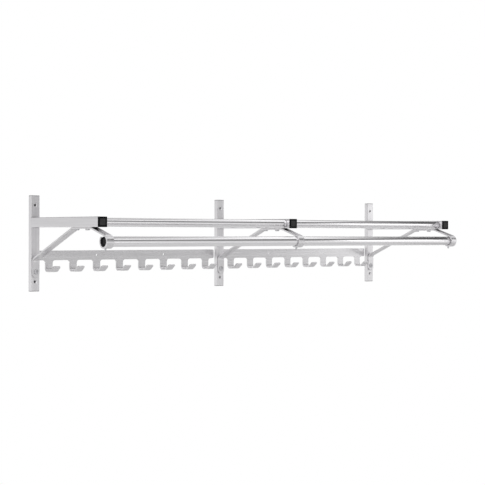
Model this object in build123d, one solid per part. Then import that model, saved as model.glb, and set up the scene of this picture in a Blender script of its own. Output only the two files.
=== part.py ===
from build123d import *

import os
from math import acos, atan2, cos, degrees, hypot, radians, sin

# Wall hook rack, in millimetres.
# X runs along the wall, the wall is the plane Y = 0, the room is on the -Y side, +Z is up.
# The origin is the centre of the wall screw pattern: on the wall, at the middle upright's centre.
# Heights below are measured from the uprights' lower ends and are moved to the origin on export.

# Overall
bay_pitch = 600.0
upright_height = 245.0
arm_reach = 325.0

# Uprights: rectangular tube with a plug in each end
upright_width = 25.0
upright_depth = 13.0
upright_wall = 2.0
upright_corner_radius = 1.5
upright_cap_thickness = 2.0
upright_cap_inset = 0.2
wall_screw_inset = 25.0
wall_screw_hole_diameter = 5.5
wall_screw_sink_diameter = 9.0

# Arms: square tube that stands out from each upright
arm_size = 25.0
arm_wall = 2.0
arm_corner_radius = 1.5
arm_centre_below_top = 69.0
arm_cap_thickness = 2.5
arm_cap_rim = 3.75
arm_block_length = 20.0

# Plugs and caps
plug_length = 8.0
plug_wall = 1.5
plug_clearance = 0.15
groove_width = 1.0
groove_depth = 0.5

# Shelf tubes: they cross the middle arm and end inside the outer two
shelf_tube_diameter = 20.0
shelf_tube_wall = 1.5
shelf_tube_setback = 22.0
shelf_tube_pitch = 110.0
shelf_rear_gap = 60.0
shelf_tube_end_gap = 0.5
tube_clearance = 0.15

# Hanger rail, held by a loop at the front of each brace
rail_diameter = 25.0
rail_wall = 1.5
rail_lead = 17.0
rail_below_arm_centre = 46.5
rail_end_inset = 3.5
rail_clearance = 0.2
rail_plug_thickness = 2.5

# Braces: flat bar from the upright to the arm's underside and round the rail
brace_width = 20.0
brace_thickness = 4.0
brace_foot_height = 36.0
brace_knee_height = 82.0
brace_bend_margin = 2.0
brace_drop_lead = 15.0
brace_knee_radius = 10.0
brace_bend_radius = 8.0
brace_loop_angle = 295.0
brace_end_radius = 9.8

# Hook strips: one bent sheet between each pair of uprights, flat on the wall
hook_count = 8
strip_thickness = 3.0
strip_band_height = 25.0
strip_band_bottom = 79.0
strip_end_gap = 4.0
strip_corner_radius = 4.0
strip_first_hook_inset = 29.75
strip_screw_hooks = (2, 5)
hook_bottom_height = 49.0
hook_width = 21.5
hook_root_fillet = 7.0
hook_neck_radius = 8.0
hook_floor_length = 11.0
hook_lift_radius = 16.0
hook_lift_angle = 39.0
hook_tip_length = 15.5
hook_tip_corner_radius = 4.0

# Screws and nuts
screw_clearance = 0.25
bolt_diameter = 6.0
bolt_head_diameter = 12.0
bolt_head_height = 3.6
bolt_nut_size = 10.0
bolt_nut_height = 5.0
bolt_height = 50.0
brace_screw_setback = 44.0
nut_plate_width = 16.0
nut_plate_margin = 7.0
nut_plate_gap = 2.0
thread_end = 0.5
arm_screw_diameter = 5.0
arm_screw_head_diameter = 8.5
arm_screw_head_height = 5.0
arm_screw_spacing = 12.0
arm_screw_grip = 15.0
set_screw_diameter = 5.0
set_screw_stand_out = 6.0
set_screw_point_diameter = 3.0
socket_depth_share = 0.6
access_clearance = 1.0

# Worked out from the sizes above
sides = ("left", "middle", "right")
upright_x = {"left": -bay_pitch, "middle": 0.0, "right": bay_pitch}
bay_x = {"left": -bay_pitch / 2, "right": bay_pitch / 2}
upright_front_y = -upright_depth
arm_front_y = -(arm_reach - arm_cap_thickness)
arm_z = upright_height - arm_centre_below_top
arm_bottom_z = arm_z - arm_size / 2
arm_floor_z = arm_bottom_z + arm_wall
front_tube_y = -(arm_reach - shelf_tube_setback)
middle_tube_y = front_tube_y + shelf_tube_pitch
rear_tube_y = upright_front_y - shelf_rear_gap - shelf_tube_diameter / 2
shelf_tube_y = {"front": front_tube_y, "middle": middle_tube_y, "rear": rear_tube_y}
shelf_tube_half = bay_pitch + arm_size / 2 - arm_wall - shelf_tube_end_gap
rail_y = -(arm_reach + rail_lead)
rail_z = arm_z - rail_below_arm_centre
brace_drop_y = front_tube_y + brace_drop_lead
rail_half = bay_pitch + brace_width / 2 - rail_end_inset - rail_plug_thickness
loop_inner_radius = rail_diameter / 2 + rail_clearance
loop_mid_radius = loop_inner_radius + brace_thickness / 2
rear_brace_screw_y = middle_tube_y - shelf_tube_diameter / 2 - nut_plate_gap - nut_plate_margin
brace_screw_y = [front_tube_y + brace_screw_setback, rear_brace_screw_y]
brace_bend_y = rear_brace_screw_y + bolt_head_diameter / 2 + brace_bend_margin
arm_screw_z = [arm_z - arm_screw_spacing / 2, arm_z + arm_screw_spacing / 2]
wall_screw_z = [wall_screw_inset, upright_height - wall_screw_inset]
strip_length = bay_pitch - upright_width - 2 * strip_end_gap
hook_pitch = (strip_length - 2 * strip_first_hook_inset) / (hook_count - 1)
hook_x = [(n - (hook_count - 1) / 2) * hook_pitch for n in range(hook_count)]
strip_screw_z = strip_band_bottom + strip_band_height / 2

# The straight bar that comes down to the loop meets its middle line as a tangent.
# Its slope follows from where the flat ends and where the rail is.
loop_ahead = brace_drop_y - rail_y
loop_below = (arm_bottom_z - brace_thickness / 2) - rail_z
loop_slope = degrees(acos(loop_mid_radius / hypot(loop_ahead, loop_below)) - atan2(loop_ahead, loop_below))


def along_x(shape):
    """Turn a shape made along +Z so that it runs along +X."""
    return Rot(0, 90, 0) * shape


def along_y(shape):
    """Turn a shape made along +Z so that it runs along +Y."""
    return Rot(-90, 0, 0) * shape


def square_tube(width, depth, length, wall, corner_radius):
    """A rectangular tube along Z, with its lower end at Z = 0."""
    outer = extrude(RectangleRounded(width, depth, corner_radius), length)
    inner = extrude(Rectangle(width - 2 * wall, depth - 2 * wall), length)
    return outer - inner


def open_plug(width, depth):
    """The hollow spigot of a push-in cap, along Z, with its base at Z = 0."""
    outer = extrude(Rectangle(width, depth), plug_length)
    inner = extrude(Rectangle(width - 2 * plug_wall, depth - 2 * plug_wall), plug_length)
    rim = outer.edges().group_by(Axis.Z)[-1]
    return chamfer(rim, plug_wall / 3) - inner


def hex_socket(head_diameter, head_height):
    """The hexagonal recess of a screw head whose top is at Z = head_height."""
    depth = head_height * socket_depth_share
    return Pos(0, 0, head_height - depth) * extrude(RegularPolygon(head_diameter / 4, 6), depth)


def domed_screw(diameter, length, head_diameter, head_height):
    """A button-head screw: head above Z = 0, shank below."""
    head = Pos(0, 0, head_height / 2) * Cylinder(head_diameter / 2, head_height)
    head = fillet(head.edges().group_by(Axis.Z)[-1], head_height * 0.7)
    shank = Pos(0, 0, -length / 2) * Cylinder(diameter / 2, length)
    shank = chamfer(shank.edges().group_by(Axis.Z)[0], diameter / 10)
    return head - hex_socket(head_diameter, head_height) + shank


def cap_screw(diameter, length, head_diameter, head_height):
    """A cylindrical socket-head screw: head above Z = 0, shank below."""
    head = Pos(0, 0, head_height / 2) * Cylinder(head_diameter / 2, head_height)
    head = chamfer(head.edges().group_by(Axis.Z)[-1], head_height / 10)
    shank = Pos(0, 0, -length / 2) * Cylinder(diameter / 2, length)
    return head - hex_socket(head_diameter, head_height) + shank


def screw_hole(diameter, length):
    """A clearance hole along Z for a screw, centred on the origin."""
    return Cylinder(diameter / 2 + screw_clearance, length)


def make_upright():
    """An upright tube at X = 0, with its wall, arm and brace holes."""
    length = upright_height - 2 * upright_cap_thickness
    tube = square_tube(upright_width, upright_depth, length, upright_wall, upright_corner_radius)
    tube = Pos(0, -upright_depth / 2, upright_cap_thickness) * tube
    sink_depth = (wall_screw_sink_diameter - wall_screw_hole_diameter) / 2
    for z in wall_screw_z:
        hole = Cylinder(wall_screw_hole_diameter / 2, 3 * upright_depth)
        sink = Cone(wall_screw_hole_diameter / 2, wall_screw_sink_diameter / 2, sink_depth)
        tube -= Pos(0, -upright_depth / 2, z) * along_y(hole)
        tube -= Pos(0, upright_front_y + sink_depth / 2, z) * Rot(90, 0, 0) * sink
    for z in arm_screw_z:
        tube -= Pos(0, upright_front_y, z) * along_y(screw_hole(arm_screw_diameter, upright_depth))
        access = screw_hole(arm_screw_head_diameter + access_clearance, upright_depth)
        tube -= Pos(0, 0, z) * along_y(access)
    tube -= Pos(0, upright_front_y, bolt_height) * along_y(screw_hole(bolt_diameter, upright_depth))
    nut_access = screw_hole(bolt_nut_size + 2 * access_clearance, upright_depth)
    return tube - Pos(0, 0, bolt_height) * along_y(nut_access)


def make_upright_cap():
    """The plug for an upright's lower end, centred on the Z axis, with its outer face at Z = 0."""
    width = upright_width - 2 * upright_cap_inset
    depth = upright_depth - 2 * upright_cap_inset
    flange = extrude(RectangleRounded(width, depth, upright_corner_radius), upright_cap_thickness)
    flange = chamfer(flange.edges().group_by(Axis.Z)[0], upright_cap_thickness / 4)
    bore_gap = 2 * (upright_wall + plug_clearance)
    plug = Pos(0, 0, upright_cap_thickness) * open_plug(upright_width - bore_gap, upright_depth - bore_gap)
    return flange + plug


def shelf_tube(y, clearance=0.0, end_gap=0.0, wall=None):
    """A shelf tube along X, or with no wall given the room that it needs in the arms."""
    length = 2 * (shelf_tube_half + end_gap)
    tube = Cylinder(shelf_tube_diameter / 2 + clearance, length)
    if wall:
        tube -= Cylinder(shelf_tube_diameter / 2 - wall, length)
    return Pos(0, y, arm_z) * along_x(tube)


def make_arm(x):
    """An arm tube at the upright at x, cut for the shelf tubes and the brace screws."""
    length = upright_front_y - arm_front_y
    tube = square_tube(arm_size, arm_size, length, arm_wall, arm_corner_radius)
    arm = Pos(x, upright_front_y, arm_z) * Rot(90, 0, 0) * tube
    for y in shelf_tube_y.values():
        arm -= shelf_tube(y, tube_clearance, shelf_tube_end_gap)
    for y in brace_screw_y:
        arm -= Pos(x, y, arm_bottom_z) * screw_hole(bolt_diameter, 3 * arm_wall)
    return arm


def make_arm_block():
    """The threaded block pressed into the wall end of an arm."""
    side = arm_size - 2 * arm_wall
    block = Box(side, arm_block_length, side)
    block = chamfer(block.edges().filter_by(Axis.Y), arm_wall / 4)
    block = Pos(0, upright_front_y - arm_block_length / 2, arm_z) * block
    for z in arm_screw_z:
        thread = Cylinder(arm_screw_diameter / 2, 3 * arm_block_length)
        block -= Pos(0, upright_front_y, z) * along_y(thread)
    return block


def make_arm_cap():
    """The square end cap of an arm, with a plain framed panel on its face."""
    flange = extrude(RectangleRounded(arm_size, arm_size, arm_corner_radius), arm_cap_thickness)
    flange = fillet(flange.edges().group_by(Axis.Z)[-1], arm_cap_thickness / 4)
    panel = arm_size - 2 * arm_cap_rim
    groove = Rectangle(panel, panel) - Rectangle(panel - 2 * groove_width, panel - 2 * groove_width)
    flange -= Pos(0, 0, arm_cap_thickness - groove_depth) * extrude(groove, groove_depth)
    bore = arm_size - 2 * (arm_wall + plug_clearance)
    cap = flange + Rot(180, 0, 0) * open_plug(bore, bore)
    return Pos(0, arm_front_y, arm_z) * Rot(90, 0, 0) * cap


def make_nut_plate():
    """The threaded strip that lies on an arm's inner floor above the brace screws."""
    length = max(brace_screw_y) - min(brace_screw_y) + 2 * nut_plate_margin
    plate = Box(nut_plate_width, length, bolt_nut_height)
    plate = fillet(plate.edges().filter_by(Axis.Z), arm_wall / 2)
    plate = Pos(0, sum(brace_screw_y) / 2, arm_floor_z + bolt_nut_height / 2) * plate
    for y in brace_screw_y:
        plate -= Pos(0, y, arm_floor_z) * Cylinder(bolt_diameter / 2, 4 * bolt_nut_height)
    return plate


def brace_path():
    """The brace's middle line in the YZ plane, from its foot to the open end of the loop."""
    face_y = upright_front_y - brace_thickness / 2
    flat_z = arm_bottom_z - brace_thickness / 2
    slope = radians(loop_slope)
    meet_y = rail_y - loop_mid_radius * sin(slope)
    meet_z = rail_z + loop_mid_radius * cos(slope)
    corners = [
        (face_y, brace_foot_height),
        (face_y, brace_knee_height),
        (brace_bend_y, flat_z),
        (brace_drop_y, flat_z),
        (meet_y, meet_z),
    ]
    bar = FilletPolyline(*corners, radius=[brace_knee_radius, brace_bend_radius, brace_bend_radius])
    loop = JernArc((meet_y, meet_z), (-cos(slope), -sin(slope)), loop_mid_radius, brace_loop_angle)
    return Curve() + bar.edges() + loop.edges()


def make_brace():
    """A brace at X = 0: one flat bar, bent, with a rounded foot and a loop for the rail."""
    side_face = trace(brace_path(), brace_thickness)
    brace = Pos(-brace_width / 2, 0, 0) * (Plane.YZ * extrude(side_face, brace_width))
    foot_corners = brace.edges().filter_by(Axis.Y).group_by(Axis.Z)[0]
    brace = fillet(foot_corners, min(brace_end_radius, 0.49 * brace_width))
    hole = screw_hole(bolt_diameter, 3 * brace_thickness)
    brace -= Pos(0, upright_front_y, bolt_height) * along_y(hole)
    for y in brace_screw_y:
        brace -= Pos(0, y, arm_bottom_z) * hole
    thread = Pos(0, 0, loop_mid_radius) * Cylinder(set_screw_diameter / 2, 3 * brace_thickness)
    return brace - at_set_screw(thread)


def at_set_screw(shape):
    """Place a shape made along +Z on the set screw's line, outwards from the rail's centre."""
    return Pos(0, rail_y, rail_z) * Rot(180 + loop_slope, 0, 0) * shape


def make_set_screw():
    """The dog-point screw that pins the rail in a loop."""
    start = rail_diameter / 2
    length = rail_clearance + brace_thickness + set_screw_stand_out
    body = Pos(0, 0, start + length / 2) * Cylinder(set_screw_diameter / 2, length)
    body = chamfer(body.edges().group_by(Axis.Z)[-1], set_screw_diameter / 10)
    slot = Box(2 * set_screw_diameter, set_screw_diameter / 6, set_screw_diameter / 2)
    body -= Pos(0, 0, start + length) * slot
    point = Cylinder(set_screw_point_diameter / 2, rail_wall)
    point = Pos(0, 0, start - rail_wall / 2) * point
    return at_set_screw(body + point)


def make_rail():
    """The hanger rail, with a small hole for each set screw's point."""
    tube = Cylinder(rail_diameter / 2, 2 * rail_half) - Cylinder(rail_diameter / 2 - rail_wall, 2 * rail_half)
    rail = Pos(0, rail_y, rail_z) * along_x(tube)
    hole = Cylinder(set_screw_point_diameter / 2 + screw_clearance, 4 * rail_wall)
    hole = at_set_screw(Pos(0, 0, rail_diameter / 2) * hole)
    for x in upright_x.values():
        rail -= Pos(x, 0, 0) * hole
    return rail


def make_rail_plug():
    """The round plug for the rail's right-hand end, with a ring groove and a hollow on its face."""
    radius = rail_diameter / 2
    flange = Pos(0, 0, rail_plug_thickness / 2) * Cylinder(radius, rail_plug_thickness)
    flange = fillet(flange.edges().group_by(Axis.Z)[-1], rail_plug_thickness / 3)
    ring = Circle(radius * 0.62) - Circle(radius * 0.62 - groove_width)
    flange -= Pos(0, 0, rail_plug_thickness - groove_depth) * extrude(ring, groove_depth)
    hollow = Cylinder(radius * 0.25, 2 * groove_depth)
    flange -= Pos(0, 0, rail_plug_thickness) * hollow
    bore = radius - rail_wall - plug_clearance
    plug = Cylinder(bore, plug_length) - Cylinder(bore - plug_wall, plug_length)
    plug = Pos(0, 0, -plug_length / 2) * plug
    return Pos(rail_half, rail_y, rail_z) * along_x(flange + plug)


def hook_side():
    """A hook's bent sheet seen from the side, as a face in the YZ plane."""
    floor_z = hook_bottom_height + strip_thickness / 2
    start = (-strip_thickness / 2, (strip_band_bottom + floor_z + hook_neck_radius) / 2)
    neck_start = (start[0], floor_z + hook_neck_radius)
    neck = JernArc(neck_start, (0, -1), hook_neck_radius, -90)
    floor_start = (start[0] - hook_neck_radius, floor_z)
    floor_end = (floor_start[0] - hook_floor_length, floor_z)
    lift = JernArc(floor_end, (-1, 0), hook_lift_radius, -hook_lift_angle)
    lift_run = hook_lift_radius * sin(radians(hook_lift_angle))
    lift_rise = hook_lift_radius * (1 - cos(radians(hook_lift_angle)))
    lift_end = (floor_end[0] - lift_run, floor_z + lift_rise)
    tip_run = hook_tip_length * cos(radians(hook_lift_angle))
    tip_rise = hook_tip_length * sin(radians(hook_lift_angle))
    tip_end = (lift_end[0] - tip_run, lift_end[1] + tip_rise)
    straight = Line(start, neck_start).edges() + Line(floor_start, floor_end).edges()
    path = Curve() + straight + neck.edges() + lift.edges() + Line(lift_end, tip_end).edges()
    return trace(path, strip_thickness)


def make_hook_bend():
    """The bent lower part of a hook whose shank is at X = 0: the band's sheet, of one width."""
    bend = Pos(-hook_width / 2, 0, 0) * (Plane.YZ * extrude(hook_side(), hook_width))
    tip_face = bend.faces().sort_by(Axis.Y)[0]
    tip_corners = tip_face.edges().filter_by(Axis.X, reverse=True)
    return fillet(tip_corners, min(hook_tip_corner_radius, 0.45 * hook_width))


def make_strip():
    """A hook strip centred on X = 0: a flat band with its hooks and two wall screw holes."""
    neck_z = hook_bottom_height + strip_thickness / 2 + hook_neck_radius
    band_z = strip_band_bottom + strip_band_height / 2
    outline = Pos(0, band_z) * RectangleRounded(strip_length, strip_band_height, strip_corner_radius)
    for x in hook_x:
        outline += Pos(x, (neck_z + band_z) / 2) * Rectangle(hook_width, band_z - neck_z)
    at_edge = [v for v in outline.vertices() if abs(v.Y - strip_band_bottom) < 0.01]
    roots = [v for v in at_edge if min(abs(abs(v.X - x) - hook_width / 2) for x in hook_x) < 0.01]
    outline = fillet(roots, hook_root_fillet)
    strip = Plane.XZ * extrude(outline, strip_thickness)
    bend = make_hook_bend()
    for x in hook_x:
        strip += Pos(x, 0, 0) * bend
    for n in strip_screw_hooks:
        hole = Cylinder(wall_screw_hole_diameter / 2, 3 * strip_thickness)
        strip -= Pos(hook_x[n], 0, strip_screw_z) * along_y(hole)
    return strip


def make_brace_bolt():
    """The bolt that clamps a brace's foot to its upright, with its nut inside the tube."""
    grip = brace_thickness + upright_wall + bolt_nut_height + thread_end
    bolt = domed_screw(bolt_diameter, grip, bolt_head_diameter, bolt_head_height)
    return Pos(0, upright_front_y - brace_thickness, bolt_height) * Rot(90, 0, 0) * bolt


def make_brace_nut():
    """The hexagonal nut inside an upright, on the brace bolt."""
    hexagon = RegularPolygon(bolt_nut_size / 2, 6, major_radius=False) - Circle(bolt_diameter / 2)
    nut = chamfer(extrude(hexagon, bolt_nut_height).edges().filter_by(GeomType.LINE).group_by(Axis.Z)[-1], 0.5)
    return Pos(0, upright_front_y + upright_wall, bolt_height) * along_y(nut)


def make_brace_screws(x):
    """The two screws that hold a brace up to the arm at x."""
    grip = brace_thickness + arm_wall + bolt_nut_height + thread_end
    screw = Rot(180, 0, 0) * domed_screw(bolt_diameter, grip, bolt_head_diameter, bolt_head_height)
    return [Pos(x, y, arm_bottom_z - brace_thickness) * screw for y in brace_screw_y]


def make_arm_screws(x):
    """The two screws inside the upright at x that draw the arm's block against it."""
    grip = upright_wall + arm_screw_grip
    screw = cap_screw(arm_screw_diameter, grip, arm_screw_head_diameter, arm_screw_head_height)
    screw = along_y(screw)
    return [Pos(x, upright_front_y + upright_wall, z) * screw for z in arm_screw_z]


def make_shelf_tube(y):
    """A hollow shelf tube along X at the depth y."""
    return shelf_tube(y, wall=shelf_tube_wall)


nodes = {}
groups = {
    "brace_bolts": [],
    "brace_nuts": [],
    "brace_screws": [],
    "arm_fixing_screws": [],
    "rail_set_screws": [],
}

for side, x in upright_x.items():
    at_side = Pos(x, 0, 0)
    cap = make_upright_cap()
    nodes[f"upright_{side}"] = at_side * make_upright()
    nodes[f"upright_cap_bottom_{side}"] = Pos(x, -upright_depth / 2, 0) * cap
    nodes[f"upright_cap_top_{side}"] = Pos(x, -upright_depth / 2, upright_height) * Rot(180, 0, 0) * cap
    nodes[f"arm_{side}"] = make_arm(x)
    nodes[f"arm_cap_{side}"] = at_side * make_arm_cap()
    nodes[f"arm_block_{side}"] = at_side * make_arm_block()
    nodes[f"brace_{side}"] = at_side * make_brace()
    nodes[f"nut_plate_{side}"] = at_side * make_nut_plate()
    groups["brace_bolts"].append(at_side * make_brace_bolt())
    groups["brace_nuts"].append(at_side * make_brace_nut())
    groups["brace_screws"] += make_brace_screws(x)
    groups["arm_fixing_screws"] += make_arm_screws(x)
    groups["rail_set_screws"].append(at_side * make_set_screw())

for place, y in shelf_tube_y.items():
    nodes[f"shelf_tube_{place}"] = make_shelf_tube(y)

nodes["hanger_rail"] = make_rail()
nodes["rail_plug_right"] = make_rail_plug()
nodes["rail_plug_left"] = mirror(make_rail_plug(), about=Plane.YZ)

for side, x in bay_x.items():
    nodes[f"hook_strip_{side}"] = Pos(x, 0, 0) * make_strip()

for name, pieces in groups.items():
    nodes[name] = Compound([solid for piece in pieces for solid in piece.solids()])

os.makedirs("parts", exist_ok=True)
for name, shape in nodes.items():
    export_step(Pos(0, 0, -upright_height / 2) * shape, f"parts/{name}.step")
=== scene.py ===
import math

import bpy
import bmesh
from mathutils import Matrix, Vector


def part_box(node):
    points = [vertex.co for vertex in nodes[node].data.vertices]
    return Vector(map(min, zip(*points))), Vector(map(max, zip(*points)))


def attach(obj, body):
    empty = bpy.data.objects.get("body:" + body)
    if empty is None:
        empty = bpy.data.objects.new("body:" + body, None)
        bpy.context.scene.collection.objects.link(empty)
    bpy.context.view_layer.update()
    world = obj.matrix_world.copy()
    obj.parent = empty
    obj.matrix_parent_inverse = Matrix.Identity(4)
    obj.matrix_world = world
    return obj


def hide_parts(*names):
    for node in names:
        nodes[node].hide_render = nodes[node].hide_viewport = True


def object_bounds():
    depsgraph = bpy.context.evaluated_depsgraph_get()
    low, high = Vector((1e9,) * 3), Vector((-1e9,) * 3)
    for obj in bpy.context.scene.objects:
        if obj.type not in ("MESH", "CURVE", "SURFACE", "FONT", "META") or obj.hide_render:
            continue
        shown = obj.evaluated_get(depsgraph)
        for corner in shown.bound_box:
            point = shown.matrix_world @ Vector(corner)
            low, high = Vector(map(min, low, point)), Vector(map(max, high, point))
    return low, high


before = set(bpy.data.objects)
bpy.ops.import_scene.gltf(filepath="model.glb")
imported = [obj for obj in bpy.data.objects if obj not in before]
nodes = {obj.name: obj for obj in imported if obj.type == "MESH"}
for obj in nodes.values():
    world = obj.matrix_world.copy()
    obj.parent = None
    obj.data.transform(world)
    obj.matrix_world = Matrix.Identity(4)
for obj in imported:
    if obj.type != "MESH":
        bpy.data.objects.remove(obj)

cad_low, cad_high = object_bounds()
SIDES = ("left", "middle", "right")
TUBES = ("front", "middle", "rear")
X, Y, Z = 0, 1, 2

# All lengths are in metres.
CAMERA_LEFT_OF_UPRIGHT = 1.638
CAMERA_OUT = 2.840
CAMERA_HEIGHT = 0.0277
CAMERA_TURN = math.radians(39.362)
CAMERA_TILT = math.radians(0.175)
METAL_EDGE = 0.00045
PLASTIC_EDGE = 0.00035
STEEL_EDGE = 0.0002
PAINTED_SHADE_DISTANCE = 0.006
CAP_PANEL_HALF = (0.0086, 0.0078)
PLUG_PANEL_RADIUS = (0.0078, 0.0068)
CAP_JOINT_SHADE_HEIGHT = (0.1214, 0.1209)
TUBE_WALL = 0.0015
TUBE_EASE = 0.0004
TUBE_SEGMENTS = 128
FLOOR_HALF_SIZE = 3.0
FLOOR_BELOW = 1.35


# ---------------------------------------------------------------- camera

def centre(node):
    low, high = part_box(node)
    return (low + high) / 2


upright_x = centre("upright_left").x
camera_place = Vector((upright_x - CAMERA_LEFT_OF_UPRIGHT, -CAMERA_OUT, CAMERA_HEIGHT))
ahead = Vector((math.sin(CAMERA_TURN), math.cos(CAMERA_TURN), 0.0))
level = Vector((math.cos(CAMERA_TURN), -math.sin(CAMERA_TURN), 0.0))
above = Vector((0.0, 0.0, 1.0))
right = level * math.cos(CAMERA_TILT) + above * math.sin(CAMERA_TILT)
up = above * math.cos(CAMERA_TILT) - level * math.sin(CAMERA_TILT)
camera_data = bpy.data.cameras.new("camera")
camera = bpy.data.objects.new("camera", camera_data)
bpy.context.scene.collection.objects.link(camera)
turned = Matrix((right, up, -ahead)).transposed().to_4x4()
camera.matrix_world = Matrix.Translation(camera_place) @ turned
camera_data.sensor_width = 36.0
camera_data.lens = 94.15
camera_data.shift_y = -0.0192
camera_data.clip_start = 0.05
camera_data.clip_end = 60.0
camera_data.dof.use_dof = False
bpy.context.scene.camera = camera


# ---------------------------------------------------------------- node helpers

class Graph:
    """Short calls for building one material's nodes."""

    def __init__(self, name):
        self.material = bpy.data.materials.new(name)
        self.material.use_nodes = True
        self.tree = self.material.node_tree
        self.tree.nodes.clear()
        self.out = self.tree.nodes.new("ShaderNodeOutputMaterial")
        self.bsdf = self.tree.nodes.new("ShaderNodeBsdfPrincipled")
        self.link(self.bsdf.outputs[0], self.out.inputs[0])
        self.place = self.tree.nodes.new("ShaderNodeTexCoord").outputs["Object"]

    def link(self, a, b):
        self.tree.links.new(a, b)

    def put(self, socket, value):
        if isinstance(value, bpy.types.NodeSocket):
            self.link(value, socket)
        else:
            socket.default_value = value

    def noise(self, scale, detail=3.0, rough=0.55, stretch=None, offset=(0.0, 0.0, 0.0), distort=0.0):
        where = self.place
        if stretch or any(offset):
            mapping = self.tree.nodes.new("ShaderNodeMapping")
            mapping.inputs["Scale"].default_value = stretch or (1.0, 1.0, 1.0)
            mapping.inputs["Location"].default_value = offset
            self.link(self.place, mapping.inputs["Vector"])
            where = mapping.outputs[0]
        n = self.tree.nodes.new("ShaderNodeTexNoise")
        self.link(where, n.inputs["Vector"])
        n.inputs["Scale"].default_value = scale
        n.inputs["Detail"].default_value = detail
        n.inputs["Roughness"].default_value = rough
        n.inputs["Distortion"].default_value = distort
        return n.outputs["Fac"]

    def ramp(self, value, a, b, low=0.0, high=1.0):
        n = self.tree.nodes.new("ShaderNodeMapRange")
        n.clamp = True
        self.put(n.inputs["Value"], value)
        n.inputs["From Min"].default_value = a
        n.inputs["From Max"].default_value = b
        n.inputs["To Min"].default_value = low
        n.inputs["To Max"].default_value = high
        return n.outputs["Result"]

    def math(self, kind, a, b=0.0, c=None):
        n = self.tree.nodes.new("ShaderNodeMath")
        n.operation = kind
        self.put(n.inputs[0], a)
        self.put(n.inputs[1], b)
        if c is not None:
            self.put(n.inputs[2], c)
        return n.outputs[0]

    def mix(self, share, a, b):
        n = self.tree.nodes.new("ShaderNodeMix")
        n.data_type = "RGBA"
        self.put(n.inputs[0], share)
        self.put(n.inputs[6], a)
        self.put(n.inputs[7], b)
        return n.outputs[2]

    def axes(self):
        n = self.tree.nodes.new("ShaderNodeSeparateXYZ")
        self.link(self.place, n.inputs[0])
        return n.outputs

    def bevel(self, radius):
        n = self.tree.nodes.new("ShaderNodeBevel")
        n.samples = 6
        n.inputs["Radius"].default_value = radius
        return n.outputs["Normal"]

    def edge(self, bevelled):
        """1 on a sharp edge, 0 on a flat."""
        geometry = self.tree.nodes.new("ShaderNodeNewGeometry")
        dot = self.tree.nodes.new("ShaderNodeVectorMath")
        dot.operation = "DOT_PRODUCT"
        self.link(bevelled, dot.inputs[0])
        self.link(geometry.outputs["Normal"], dot.inputs[1])
        return self.ramp(dot.outputs["Value"], 0.998, 0.86)

    def shade_occlusion(self, distance):
        """1 in the open, 0 deep in a corner or behind a touching piece; drawn_metal uses it to paint shade
        into the colour.
        """
        n = self.tree.nodes.new("ShaderNodeAmbientOcclusion")
        n.samples = 6
        n.inputs["Distance"].default_value = distance
        return n.outputs["AO"]

    def bump(self, height, distance, strength=1.0, normal=None):
        n = self.tree.nodes.new("ShaderNodeBump")
        n.inputs["Strength"].default_value = strength
        n.inputs["Distance"].default_value = distance
        self.link(height, n.inputs["Height"])
        if normal is not None:
            self.link(normal, n.inputs["Normal"])
        return n.outputs["Normal"]


def grey(v, blue=0.0):
    """A neutral tone, with a little less green and, where asked for, a little more blue."""
    return (v, v * 0.985 + blue * 0.4, v + blue, 1.0)


def drawn_metal(name, tone, rough, along, lines=1.0, smudge=0.5):
    """Anodised aluminium with fine lines drawn along one axis, handling marks, worn edges, and painted
    shade in corners and where pieces touch.
    """
    g = Graph(name)
    fine = [1.0, 1.0, 1.0]
    broad = [1.0, 1.0, 1.0]
    for axis in range(3):
        fine[axis] = 4.0 if axis == along else 900.0
        broad[axis] = 1.2 if axis == along else 160.0
    hair = g.noise(1.0, 4.0, 0.6, tuple(fine))
    band = g.noise(1.0, 2.0, 0.5, tuple(broad), (3.1, 1.7, 5.3))
    cloud = g.noise(9.0, 3.0, 0.6, None, (7.0, 2.0, 1.0), 0.4)
    speck = g.noise(2600.0, 2.0, 0.7)
    bevelled = g.bevel(METAL_EDGE)
    worn = g.edge(bevelled)
    streak = g.math("ADD", g.math("MULTIPLY", hair, 0.6), g.math("MULTIPLY", band, 0.4))
    dark = grey(tone * 0.86, 0.006)
    light = grey(min(0.98, tone * 1.06), 0.004)
    colour = g.mix(g.ramp(streak, 0.32, 0.68), dark, light)
    colour = g.mix(g.ramp(cloud, 0.42, 0.74, 0.0, 0.22 * smudge), colour, grey(tone * 0.78, -0.004))
    colour = g.mix(g.math("MULTIPLY", worn, 0.5), colour, grey(min(0.98, tone * 1.14)))
    # Painted shade: the colour darkens toward a dark grey in corners and where pieces touch, standing in
    # for contact shadows.
    painted_shade = g.ramp(g.shade_occlusion(PAINTED_SHADE_DISTANCE), 0.25, 0.85, 0.75, 0.0)
    colour = g.mix(painted_shade, colour, grey(tone * 0.30))
    g.link(colour, g.bsdf.inputs["Base Color"])
    g.bsdf.inputs["Metallic"].default_value = 1.0
    base = g.ramp(streak, 0.3, 0.7, rough * 0.84, rough * 1.18)
    base = g.math("ADD", base, g.ramp(cloud, 0.4, 0.75, 0.0, 0.07 * smudge))
    base = g.math("ADD", base, g.ramp(speck, 0.45, 0.75, 0.0, 0.03))
    base = g.math("SUBTRACT", base, g.math("MULTIPLY", worn, 0.05))
    g.link(base, g.bsdf.inputs["Roughness"])
    g.bsdf.inputs["Anisotropic"].default_value = 0.25
    rounded = g.bump(streak, 0.00003 * lines, 0.6, bevelled)
    rounded = g.bump(speck, 0.000012, 0.5, rounded)
    g.link(rounded, g.bsdf.inputs["Normal"])
    return g.material


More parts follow.
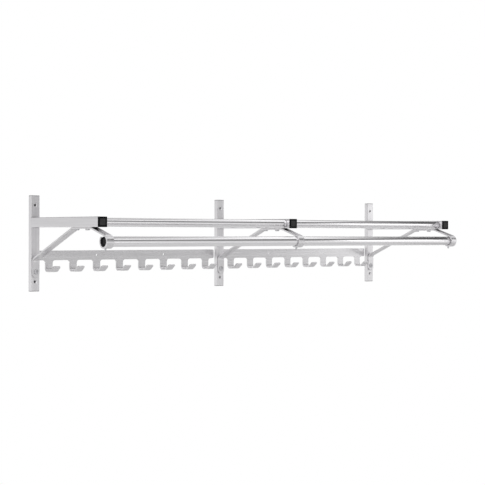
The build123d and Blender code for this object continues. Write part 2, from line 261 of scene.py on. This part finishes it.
def moulded(name, tone, rough, gloss=0.5, marked=None, marked_tone=0.0):
    """Moulded plastic with a fine eroded grain, faint flow marks and rubbed edges.

    marked builds a mask from the place on the object for an area coloured near marked_tone. On the arm
    caps and plugs this is a tone of their own; along the upright cap joints it is a line of painted shade.
    """
    g = Graph(name)
    pits = g.noise(1900.0, 3.0, 0.65)
    flow = g.noise(60.0, 3.0, 0.5, None, (2.0, 8.0, 4.0), 0.8)
    dust = g.noise(700.0, 2.0, 0.6, None, (5.0, 1.0, 9.0))
    bevelled = g.bevel(PLASTIC_EDGE)
    worn = g.edge(bevelled)
    colour = g.mix(g.ramp(flow, 0.35, 0.7), grey(tone * 0.85, 0.001), grey(tone * 1.2, 0.002))
    colour = g.mix(g.ramp(dust, 0.6, 0.8, 0.0, 0.25), colour, grey(tone * 1.6))
    colour = g.mix(g.math("MULTIPLY", worn, 0.45), colour, grey(min(0.9, tone * 2.0)))
    if marked is not None:
        area = g.mix(g.ramp(flow, 0.35, 0.7), grey(marked_tone * 0.88), grey(marked_tone * 1.12))
        colour = g.mix(marked(g), colour, area)
    g.link(colour, g.bsdf.inputs["Base Color"])
    surface = g.ramp(pits, 0.35, 0.7, rough * 0.86, rough * 1.14)
    surface = g.math("ADD", surface, g.ramp(flow, 0.4, 0.7, 0.0, 0.05))
    g.link(surface, g.bsdf.inputs["Roughness"])
    g.bsdf.inputs["Specular IOR Level"].default_value = gloss
    rounded = g.bump(pits, 0.00004, 0.5, bevelled)
    g.link(rounded, g.bsdf.inputs["Normal"])
    return g.material


def plated(name, tone, rough):
    """Zinc-plated steel with a slightly mottled, cool surface."""
    g = Graph(name)
    mottle = g.noise(420.0, 4.0, 0.6, None, (1.0, 4.0, 2.0), 0.5)
    turned_lines = g.noise(1500.0, 2.0, 0.5)
    bevelled = g.bevel(STEEL_EDGE)
    worn = g.edge(bevelled)
    colour = g.mix(g.ramp(mottle, 0.35, 0.7), grey(tone * 0.82, 0.02), grey(tone * 1.08, 0.008))
    colour = g.mix(g.math("MULTIPLY", worn, 0.6), colour, grey(min(0.95, tone * 1.25)))
    g.link(colour, g.bsdf.inputs["Base Color"])
    g.bsdf.inputs["Metallic"].default_value = 1.0
    g.link(g.ramp(mottle, 0.3, 0.75, rough * 0.8, rough * 1.25), g.bsdf.inputs["Roughness"])
    g.link(g.bump(turned_lines, 0.00002, 0.5, bevelled), g.bsdf.inputs["Normal"])
    return g.material


def arm_panel(g):
    """1 on the raised panel in the middle of each arm cap's face."""
    axes = g.axes()
    across = g.math("ABSOLUTE", g.math("WRAP", axes[X], -bay / 2, bay / 2))
    height = g.math("ABSOLUTE", g.math("SUBTRACT", axes[Z], centre("arm_cap_left").z))
    return g.ramp(g.math("MAXIMUM", across, height), *CAP_PANEL_HALF)


def plug_panel(g):
    """1 inside the ring groove of each rail plug."""
    axes = g.axes()
    middle = centre("rail_plug_left")
    ahead_by = g.math("SUBTRACT", axes[Y], middle.y)
    above_by = g.math("SUBTRACT", axes[Z], middle.z)
    squares = g.math("ADD", g.math("MULTIPLY", ahead_by, ahead_by), g.math("MULTIPLY", above_by, above_by))
    return g.ramp(g.math("SQRT", squares), *PLUG_PANEL_RADIUS)


def cap_joint_shade(g):
    """1 along the joint between an upright and its end cap, where a dark line of painted shade stands in
    for the shadow in the gap.
    """
    from_middle = g.math("ABSOLUTE", g.math("SUBTRACT", g.axes()[Z], centre("upright_left").z))
    return g.ramp(from_middle, *CAP_JOINT_SHADE_HEIGHT)


bay = centre("upright_middle").x - upright_x
upright_metal = drawn_metal("upright_aluminium", 0.82, 0.34, Z)
arm_metal = drawn_metal("arm_aluminium", 0.78, 0.32, Y)
tube_metal = drawn_metal("tube_aluminium", 0.89, 0.16, X, 0.25, 0.2)
brace_metal = drawn_metal("brace_aluminium", 0.78, 0.30, Y, 0.8)
strip_metal = drawn_metal("strip_aluminium", 0.77, 0.24, X, 0.5)
block_metal = drawn_metal("block_aluminium", 0.60, 0.42, Y, 1.5)
arm_cap_black = moulded("arm_cap_black", 0.003, 0.45, 0.06, arm_panel, 0.045)
plug_black = moulded("plug_black", 0.003, 0.45, 0.06, plug_panel, 0.028)
# The upright end caps get a dark band of painted shade along their joint with the upright, standing in for
# the shadow in the gap.
grey_plastic = moulded("grey_plastic", 0.66, 0.5, 0.4, cap_joint_shade, 0.06)
steel = plated("zinc_plated_steel", 0.62, 0.28)


def paint(name, material):
    """Give a CAD node its material."""
    mesh = nodes[name].data
    mesh.materials.clear()
    mesh.materials.append(material)


for side in SIDES:
    paint("upright_" + side, upright_metal)
    paint("upright_cap_top_" + side, grey_plastic)
    paint("upright_cap_bottom_" + side, grey_plastic)
    paint("arm_" + side, arm_metal)
    paint("arm_cap_" + side, arm_cap_black)
    paint("arm_block_" + side, block_metal)
    paint("brace_" + side, brace_metal)
    paint("nut_plate_" + side, steel)
for place in TUBES:
    paint("shelf_tube_" + place, tube_metal)
paint("hanger_rail", tube_metal)
for side in ("left", "right"):
    paint("rail_plug_" + side, plug_black)
    paint("hook_strip_" + side, strip_metal)
for group in ("brace_bolts", "brace_nuts", "brace_screws", "arm_fixing_screws", "rail_set_screws"):
    paint(group, steel)


# ---------------------------------------------------------------- drawn tubes

def drawn_tube(replaced):
    """A hollow tube along X in place of a CAD tube, with rounded edges at both ends."""
    low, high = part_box(replaced)
    middle = (low + high) / 2
    outer = (high.z - low.z) / 2
    inner = outer - TUBE_WALL
    ease = TUBE_EASE
    part_way = ease * 0.3
    profile = [
        (low.x, inner + ease),
        (low.x, outer - ease),
        (low.x + part_way, outer - part_way),
        (low.x + ease, outer),
        (high.x - ease, outer),
        (high.x - part_way, outer - part_way),
        (high.x, outer - ease),
        (high.x, inner + ease),
        (high.x - ease, inner),
        (low.x + ease, inner),
    ]
    b = bmesh.new()
    rings = []
    for x, r in profile:
        ring = []
        for i in range(TUBE_SEGMENTS):
            a = 2 * math.pi * i / TUBE_SEGMENTS
            ring.append(b.verts.new((x, middle.y + r * math.cos(a), middle.z + r * math.sin(a))))
        rings.append(ring)
    for k in range(len(rings)):
        first, second = rings[k], rings[(k + 1) % len(rings)]
        for i in range(TUBE_SEGMENTS):
            j = (i + 1) % TUBE_SEGMENTS
            b.faces.new((first[i], first[j], second[j], second[i]))
    bmesh.ops.recalc_face_normals(b, faces=b.faces)
    name = "drawn_" + replaced
    mesh = bpy.data.meshes.new(name)
    b.to_mesh(mesh)
    b.free()
    for polygon in mesh.polygons:
        polygon.use_smooth = True
    mesh.set_sharp_from_angle(angle=math.radians(50))
    made = bpy.data.objects.new(name, mesh)
    mesh.materials.append(tube_metal)
    bpy.context.scene.collection.objects.link(made)
    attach(made, "root")
    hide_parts(replaced)


for place in TUBES:
    drawn_tube("shelf_tube_" + place)
drawn_tube("hanger_rail")


# ---------------------------------------------------------------- stage

def stage_material(name, seen, lit):
    """Plain white: even where the camera sees it, and a soft surface for the light."""
    g = Graph(name)
    g.tree.nodes.remove(g.bsdf)
    path = g.tree.nodes.new("ShaderNodeLightPath")
    facing = g.tree.nodes.new("ShaderNodeNewGeometry")
    glow = g.tree.nodes.new("ShaderNodeEmission")
    glow.inputs["Color"].default_value = (seen, seen, seen, 1.0)
    soft = g.tree.nodes.new("ShaderNodeBsdfDiffuse")
    soft.inputs["Color"].default_value = (lit, lit, lit, 1.0)
    clear = g.tree.nodes.new("ShaderNodeBsdfTransparent")
    first = g.tree.nodes.new("ShaderNodeMixShader")
    second = g.tree.nodes.new("ShaderNodeMixShader")
    g.link(path.outputs["Is Camera Ray"], first.inputs[0])
    g.link(soft.outputs[0], first.inputs[1])
    g.link(glow.outputs[0], first.inputs[2])
    g.link(facing.outputs["Backfacing"], second.inputs[0])
    g.link(first.outputs[0], second.inputs[1])
    g.link(clear.outputs[0], second.inputs[2])
    g.link(second.outputs[0], g.out.inputs[0])
    return g.material


def floor():
    mesh = bpy.data.meshes.new("floor")
    b = bmesh.new()
    size = FLOOR_HALF_SIZE
    height = cad_low.z - FLOOR_BELOW
    corners = []
    for x, y in ((-1, -1), (1, -1), (1, 1), (-1, 1)):
        corners.append(b.verts.new((x * size, y * size, height)))
    b.faces.new(corners)
    b.to_mesh(mesh)
    b.free()
    made = bpy.data.objects.new("floor", mesh)
    made.data.materials.append(stage_material("floor_white", 1.0, 0.88))
    bpy.context.scene.collection.objects.link(made)


floor()

world = bpy.data.worlds.new("studio")
bpy.context.scene.world = world
world.use_nodes = True
tree = world.node_tree
tree.nodes.clear()
world_out = tree.nodes.new("ShaderNodeOutputWorld")
where = tree.nodes.new("ShaderNodeTexCoord")
parts = tree.nodes.new("ShaderNodeSeparateXYZ")
tree.links.new(where.outputs["Generated"], parts.inputs[0])
level_ramp = tree.nodes.new("ShaderNodeValToRGB")
remap = tree.nodes.new("ShaderNodeMapRange")
remap.inputs["From Min"].default_value = -1.0
remap.inputs["From Max"].default_value = 1.0
tree.links.new(parts.outputs["Z"], remap.inputs["Value"])
tree.links.new(remap.outputs["Result"], level_ramp.inputs["Fac"])
# Brightness of the surroundings by height, from straight down (-1) to straight up (1).
stops = [
    (-1.0, 0.50), (-0.42, 0.55), (-0.30, 0.80), (-0.17, 1.20), (-0.05, 0.60), (0.10, 0.50), (0.30, 0.42),
    (0.40, 0.08), (0.50, 0.08), (0.62, 0.70), (0.77, 1.40), (0.84, 0.62), (0.94, 0.48), (1.0, 0.44),
]
ramp = level_ramp.color_ramp
for i, (height, value) in enumerate(stops):
    at = (height + 1.0) / 2.0
    stop = ramp.elements[i] if i < 2 else ramp.elements.new(at)
    stop.position = at
    stop.color = (value, value, value, 1.0)
lit = tree.nodes.new("ShaderNodeBackground")
seen = tree.nodes.new("ShaderNodeBackground")
seen.inputs["Color"].default_value = (1.0, 1.0, 1.0, 1.0)
tree.links.new(level_ramp.outputs["Color"], lit.inputs["Color"])
# The side that the left-hand faces reflect is brighter.
sideways = tree.nodes.new("ShaderNodeMapRange")
sideways.inputs["From Min"].default_value = -0.7
sideways.inputs["From Max"].default_value = 0.4
sideways.inputs["To Min"].default_value = 1.36
sideways.inputs["To Max"].default_value = 1.0
tree.links.new(parts.outputs["X"], sideways.inputs["Value"])
tree.links.new(sideways.outputs["Result"], lit.inputs["Strength"])
path = tree.nodes.new("ShaderNodeLightPath")
choose = tree.nodes.new("ShaderNodeMixShader")
tree.links.new(path.outputs["Is Camera Ray"], choose.inputs[0])
tree.links.new(lit.outputs[0], choose.inputs[1])
tree.links.new(seen.outputs[0], choose.inputs[2])
tree.links.new(choose.outputs[0], world_out.inputs[0])


def soft_light(name, place, target, size, power):
    data = bpy.data.lights.new(name, "AREA")
    data.shape = "RECTANGLE"
    data.size, data.size_y = size
    data.energy = power
    made = bpy.data.objects.new(name, data)
    bpy.context.scene.collection.objects.link(made)
    made.location = place
    made.rotation_mode = "QUATERNION"
    made.rotation_quaternion = (Vector(target) - Vector(place)).to_track_quat("-Z", "Y")


soft_light("key", (-2.6, -2.6, 2.4), (0.0, -0.2, 0.0), (2.2, 1.6), 24.0)
soft_light("fill", (3.2, -2.0, 0.5), (0.0, -0.2, 0.0), (1.4, 1.2), 6.0)

bpy.context.scene.view_settings.view_transform = "Standard"
bpy.context.scene.view_settings.look = "None"
bpy.context.scene.view_settings.exposure = 0.0
bpy.context.scene.view_settings.gamma = 1.0
